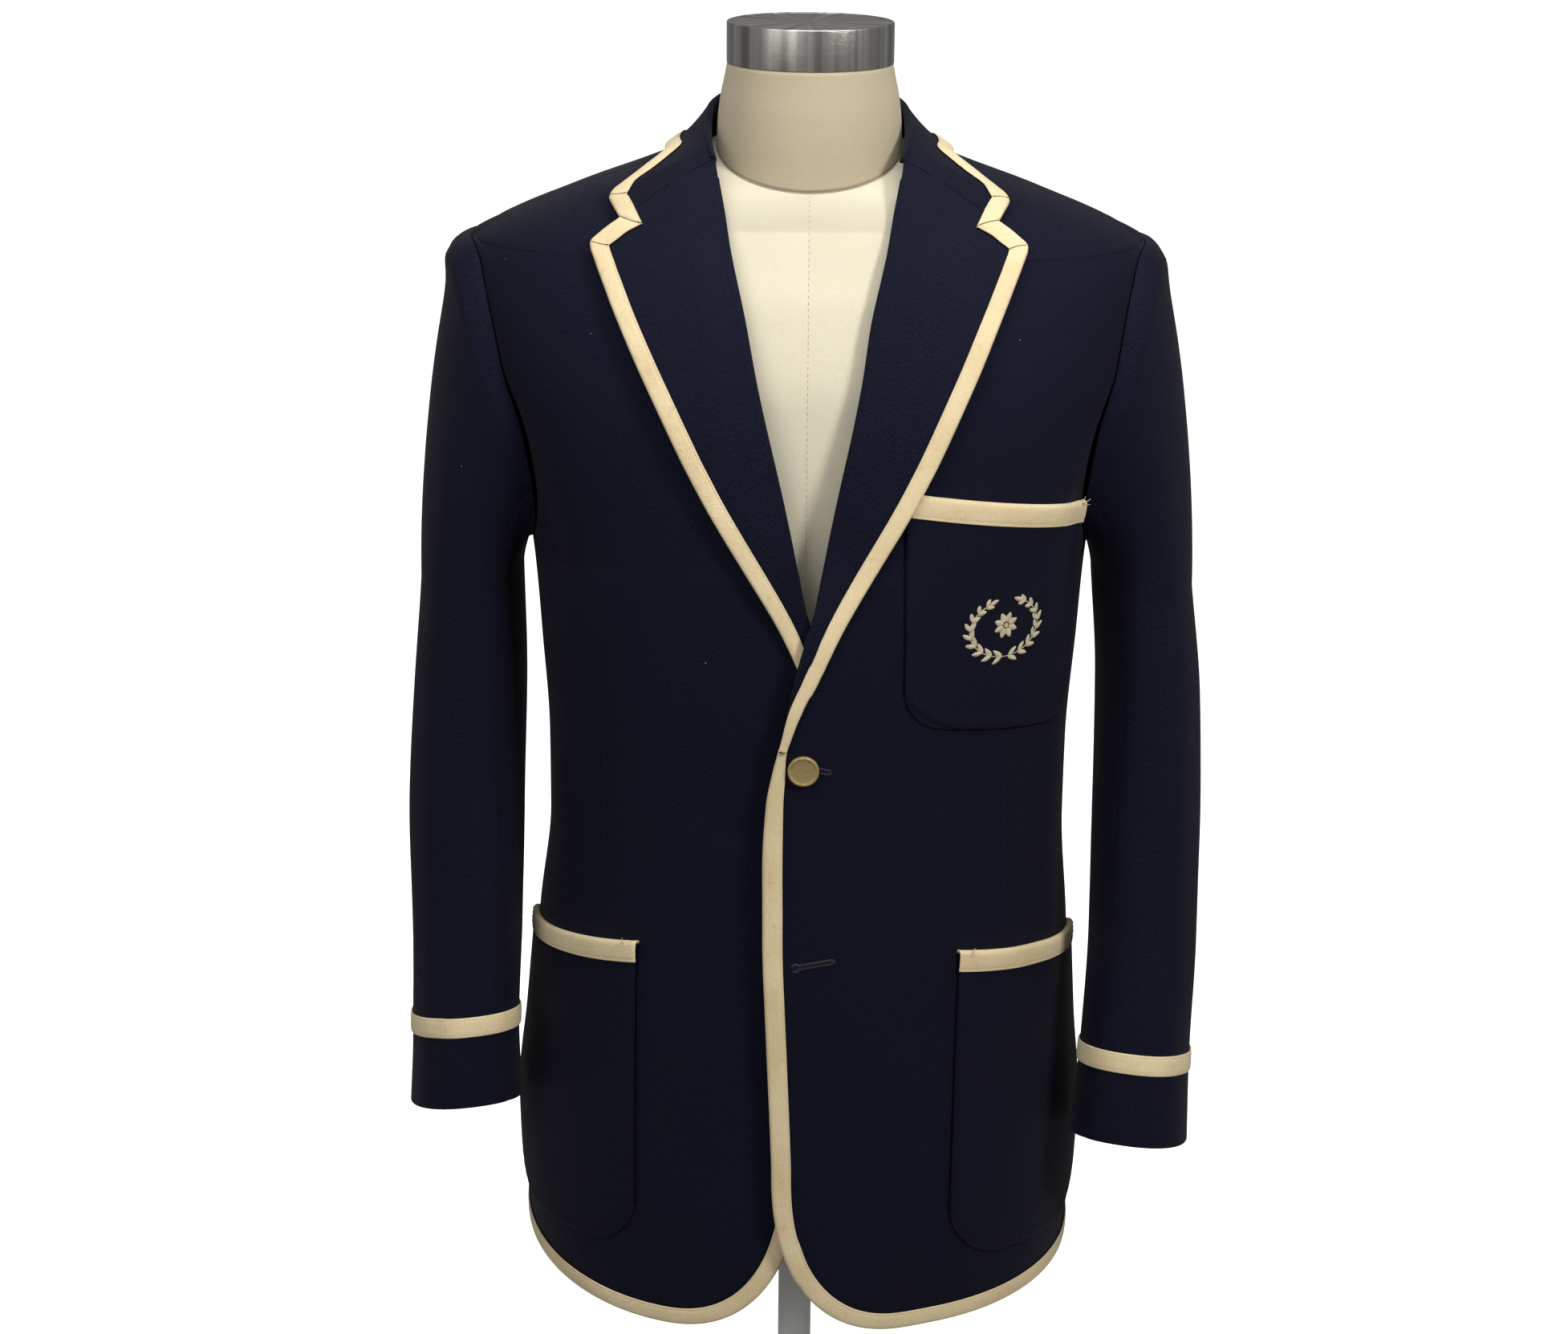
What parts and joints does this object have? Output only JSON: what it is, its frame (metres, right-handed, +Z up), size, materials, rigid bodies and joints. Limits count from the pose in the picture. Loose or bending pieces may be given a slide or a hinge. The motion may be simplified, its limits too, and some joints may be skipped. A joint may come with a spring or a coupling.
{
  "type": "rowing blazer on limbless dress form",
  "caption": "Rowing blazer in navy worsted bound with cream tape, buttoned on a limbless linen dress form with a steel neck cap, pole and round base.",
  "frame": {"origin": "on the floor under the middle of the stand's round base", "axes": "+Z up, -Y towards the front of the blazer, +X towards the wearer's left"},
  "size_m": [0.568, 0.3265, 1.115],
  "materials": {
    "navy_worsted": "matt worsted",
    "cream_tape": "matt woven tape",
    "matte_brass": "dull",
    "cream_linen": "matt linen",
    "neck_linen": "matt linen",
    "brushed_steel": "brushed",
    "painted_metal": "satin"
  },
  "bodies": {
    "root": {"back_left": "navy_worsted", "back_right": "navy_worsted", "button": "matte_brass", "chest_pocket": "navy_worsted", "collar": "navy_worsted", "cuff_tape_left": "cream_tape", "cuff_tape_right": "cream_tape", "form_neck": "neck_linen", "form_torso": "cream_linen", "front_left": "navy_worsted", "front_right": "navy_worsted", "hip_pocket_left": "navy_worsted", "hip_pocket_right": "navy_worsted", "lapel_left": "navy_worsted", "lapel_right": "navy_worsted", "neck_cap": "brushed_steel", "sleeve_top_left": "navy_worsted", "sleeve_top_right": "navy_worsted", "sleeve_under_left": "navy_worsted", "sleeve_under_right": "navy_worsted", "stand": "painted_metal", "tape_back": "cream_tape", "tape_chest_pocket": "cream_tape", "tape_collar": "cream_tape", "tape_front_left": "cream_tape", "tape_front_right": "cream_tape", "tape_hip_pocket_left": "cream_tape", "tape_hip_pocket_right": "cream_tape", "tape_lapel_left": "cream_tape", "tape_lapel_right": "cream_tape"}
  },
  "joints": []
}
